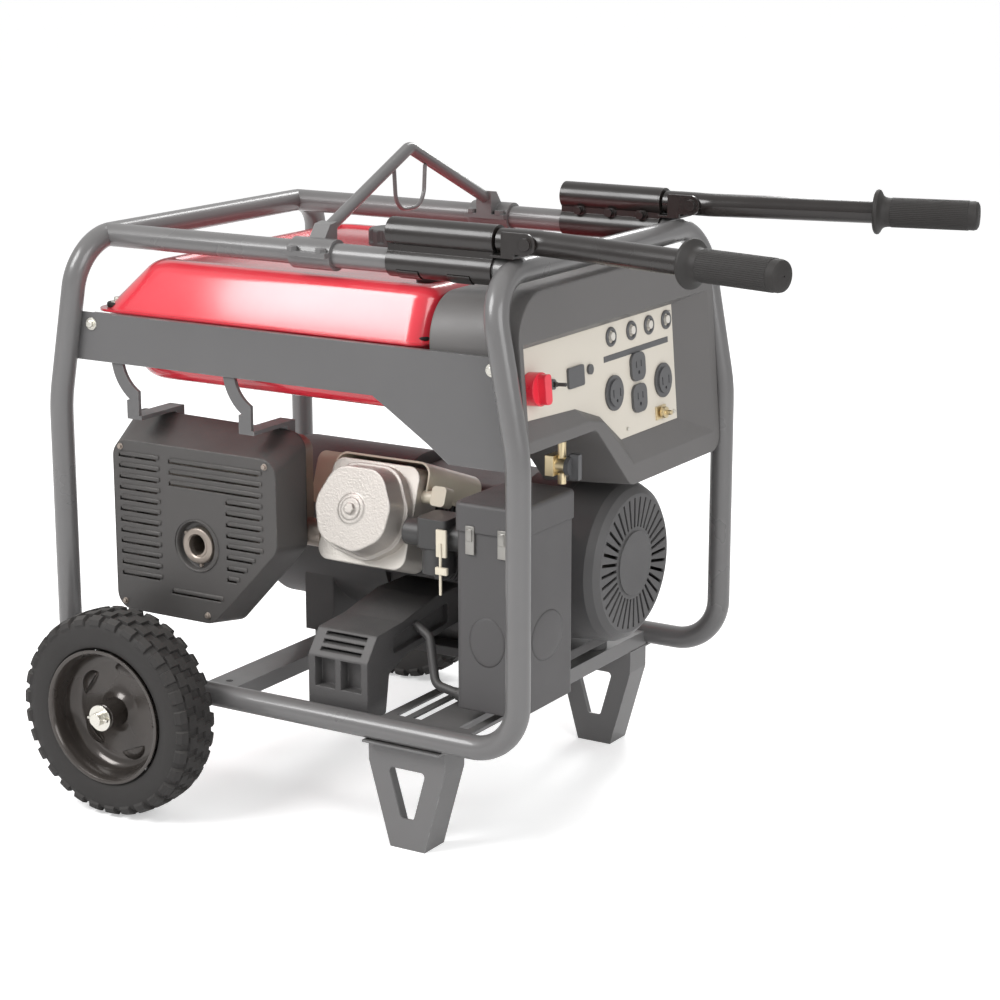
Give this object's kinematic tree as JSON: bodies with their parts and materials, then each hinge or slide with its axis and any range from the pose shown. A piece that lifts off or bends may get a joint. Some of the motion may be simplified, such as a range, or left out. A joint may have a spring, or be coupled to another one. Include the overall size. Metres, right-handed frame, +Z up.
{
  "type": "portable generator",
  "caption": "Open-frame portable engine generator on two wheels, with fold-out carrying handles, lifting bar, fuel tank, muffler and outlet panel",
  "frame": {"origin": "on the ground, below the centre of the whole part's box, with the handles folded out", "axes": "+X towards the control panel and the folded-out handles, +Y to the right seen from the muffler end, +Z up"},
  "size_m": [0.9916, 0.726, 0.7961],
  "materials": {
    "frame_paint": "satin",
    "rubber": "matte",
    "tyre": "matte",
    "rim_paint": "satin",
    "zinc": "satin",
    "black_paint": "satin",
    "grip_rubber": "matte",
    "tank_paint": "gloss",
    "black_plastic": "matte",
    "panel_paint": "satin",
    "muffler_steel": "satin",
    "cast_aluminium": "satin",
    "shroud_paint": "satin",
    "cap_plastic": "matte",
    "recoil_paint": "satin",
    "steel": "satin",
    "cast_iron": "rough",
    "brass": "satin",
    "panel_face": "satin",
    "red_plastic": "gloss",
    "button_plastic": "gloss"
  },
  "bodies": {
    "root": {"air_cleaner_case": "black_plastic", "air_cleaner_lid": "black_plastic", "alternator_stator": "cast_aluminium", "base_rails": "frame_paint", "blower_housing": "panel_paint", "bottom_tube_left": "frame_paint", "bottom_tube_right": "frame_paint", "carburettor": "cast_aluminium", "control_box": "panel_paint", "crankcase": "cast_aluminium", "cylinder_barrel": "cast_aluminium", "cylinder_head": "cast_aluminium", "end_hoop_muffler": "frame_paint", "end_hoop_panel": "frame_paint", "feet": "rubber", "fuel_tank": "tank_paint", "fuel_valve_body": "brass", "ground_terminal": "brass", "hanger_clamps": "black_paint", "head_shroud": "shroud_paint", "hinge_bracket_left": "zinc", "hinge_bracket_right": "zinc", "lifting_hanger": "black_paint", "muffler": "muffler_steel", "muffler_shield": "muffler_steel", "muffler_stays": "muffler_steel", "outlets": "black_plastic", "panel_plate": "panel_face", "recoil_cover": "recoil_paint", "rocker_cover": "cast_aluminium", "rubber_mounts": "rubber", "saddle_left": "black_paint", "saddle_right": "black_paint", "side_panel_left": "panel_paint", "side_panel_right": "panel_paint", "spark_plug_cap": "cap_plastic", "top_rail_left": "frame_paint", "top_rail_right": "frame_paint", "wheel_brackets": "zinc"},
    "wheel_left": {"tyre_left": "tyre", "wheel_rim_left": "rim_paint"},
    "wheel_right": {"tyre_right": "tyre", "wheel_rim_right": "rim_paint"},
    "handle_left": {"handle_tube_left": "black_paint", "grip_left": "grip_rubber"},
    "handle_right": {"handle_tube_right": "black_paint", "grip_right": "grip_rubber"},
    "fuel_cap_body": {"fuel_cap": "black_plastic"},
    "oil_cap_body": {"oil_filler_cap": "black_plastic"},
    "valve_knob_body": {"fuel_valve_knob": "black_plastic"},
    "engine_switch_body": {"engine_switch": "red_plastic"},
    "throttle_switch_body": {"throttle_switch": "black_plastic"},
    "recoil_handle_body": {"recoil_handle": "black_plastic"},
    "shaft": {"crankshaft": "steel", "flywheel": "cast_iron", "alternator_rotor": "steel"},
    "breaker_body_1": {"breaker_button_1": "button_plastic"},
    "breaker_body_2": {"breaker_button_2": "button_plastic"},
    "breaker_body_3": {"breaker_button_3": "button_plastic"},
    "breaker_body_4": {"breaker_button_4": "button_plastic"}
  },
  "joints": [
    {"name": "wheel_left_spin", "type": "hinge", "parent": "root", "child": "wheel_left", "pos_m": [-0.352, -0.318, 0.127], "axis": [0, 1, 0], "continuous": true},
    {"name": "wheel_right_spin", "type": "hinge", "parent": "root", "child": "wheel_right", "pos_m": [-0.352, 0.318, 0.127], "axis": [0, 1, 0], "continuous": true},
    {"name": "handle_left_fold", "type": "hinge", "parent": "root", "child": "handle_left", "pos_m": [0.157, -0.1964, 0.719], "axis": [0, 1, 0], "range_deg": [0, 70]},
    {"name": "handle_right_fold", "type": "hinge", "parent": "root", "child": "handle_right", "pos_m": [0.157, 0.1964, 0.719], "axis": [0, 1, 0], "range_deg": [0, 70]},
    {"name": "fuel_cap_turn", "type": "hinge", "parent": "root", "child": "fuel_cap_body", "pos_m": [-0.197, 0.062, 0.66], "axis": [0, 0, 1], "range_deg": [0, 90]},
    {"name": "oil_cap_turn", "type": "hinge", "parent": "root", "child": "oil_cap_body", "pos_m": [-0.015, -0.039, 0.208], "axis": [0, -1, 0], "range_deg": [0, 360]},
    {"name": "fuel_valve_turn", "type": "hinge", "parent": "root", "child": "valve_knob_body", "pos_m": [0.15, -0.095, 0.447], "axis": [1, 0, 0], "range_deg": [0, 90]},
    {"name": "engine_switch_turn", "type": "hinge", "parent": "root", "child": "engine_switch_body", "pos_m": [0.16137, -0.197, 0.55655], "axis": [0.9971, 0, 0.0767], "range_deg": [0, 60]},
    {"name": "throttle_switch_tip", "type": "hinge", "parent": "root", "child": "throttle_switch_body", "pos_m": [0.1602, -0.148, 0.55345], "axis": [0, 1, 0], "range_deg": [-20, 0]},
    {"name": "breaker_press_1", "type": "slide", "parent": "root", "child": "breaker_body_1", "axis": [-0.9971, 0, -0.0767], "range_m": [0, 0.002], "stiffness_N_per_m": 800, "springref_m": -0.002},
    {"name": "breaker_press_2", "type": "slide", "parent": "root", "child": "breaker_body_2", "axis": [-0.9971, 0, -0.0767], "range_m": [0, 0.002], "stiffness_N_per_m": 800, "springref_m": -0.002},
    {"name": "breaker_press_3", "type": "slide", "parent": "root", "child": "breaker_body_3", "axis": [-0.9971, 0, -0.0767], "range_m": [0, 0.002], "stiffness_N_per_m": 800, "springref_m": -0.002},
    {"name": "breaker_press_4", "type": "slide", "parent": "root", "child": "breaker_body_4", "axis": [-0.9971, 0, -0.0767], "range_m": [0, 0.002], "stiffness_N_per_m": 800, "springref_m": -0.002},
    {"name": "recoil_pull", "type": "slide", "parent": "root", "child": "recoil_handle_body", "axis": [1, 0, 0], "range_m": [0, 0.6], "stiffness_N_per_m": 20, "springref_m": -0.4},
    {"name": "shaft_spin", "type": "hinge", "parent": "root", "child": "shaft", "pos_m": [-0.155, 0.07, 0.292], "axis": [1, 0, 0], "continuous": true}
  ]
}
